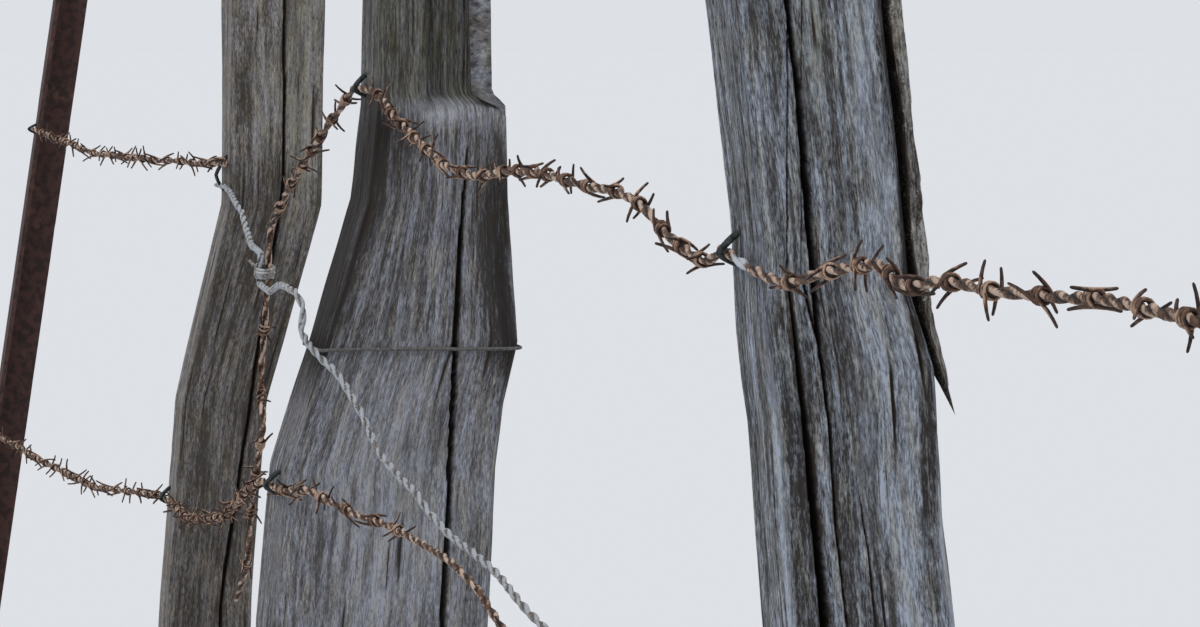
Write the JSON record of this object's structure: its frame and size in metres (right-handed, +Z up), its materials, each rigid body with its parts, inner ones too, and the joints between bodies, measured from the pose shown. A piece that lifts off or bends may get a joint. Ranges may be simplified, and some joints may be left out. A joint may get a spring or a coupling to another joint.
{
  "type": "barbed wire fence",
  "caption": "Old stock fence with split, weathered timber posts and a rusty steel stake carrying twisted barbed strands, one of them broken and mended with plain wire.",
  "frame": {"origin": "centre of the foot face of timber_post_3, the post nearest the camera, at ground level", "axes": "+X along the fence away from the steel stake, +Z up, the strands run on the -Y side"},
  "size_m": [6.818, 0.385, 1.42],
  "materials": {
    "weathered_timber": "silver-grey split wood, raised grain, dry and matte, with drying checks",
    "lichened_sapwood": "peeling grey sapwood, rough, flecked with pale lichen",
    "rusted_wire": "rusted twisted steel wire, matte, pinkish-tan over dark brown",
    "rusted_barb": "rusted steel wire, matte dark brown at the cut points",
    "staple_steel": "blackened staple, dull, a little rust at the legs",
    "galvanised_wire": "dull grey zinc coat, streaked, with first rust",
    "rusted_stake": "dark red-brown scaly rust"
  },
  "bodies": {
    "root": {"bottom_barbs": "rusted_barb", "bottom_strand": "rusted_wire", "repair_wire": "galvanised_wire", "sapwood_strip": "lichened_sapwood", "second_barbs": "rusted_barb", "second_strand": "rusted_wire", "splice_knot": "galvanised_wire", "stake_ties": "galvanised_wire", "staples_post_1": "staple_steel", "staples_post_2": "staple_steel", "staples_post_3": "staple_steel", "staples_post_4": "staple_steel", "staples_post_5": "staple_steel", "steel_stake": "rusted_stake", "third_barbs": "rusted_barb", "third_strand": "rusted_wire", "timber_post_1": "weathered_timber", "timber_post_2": "weathered_timber", "timber_post_3": "weathered_timber", "timber_post_4": "weathered_timber", "timber_post_5": "weathered_timber", "top_barbs": "rusted_barb", "top_end_barbs": "rusted_barb", "top_end_strand": "rusted_wire", "top_strand": "rusted_wire", "wire_wrap": "galvanised_wire"}
  },
  "joints": []
}
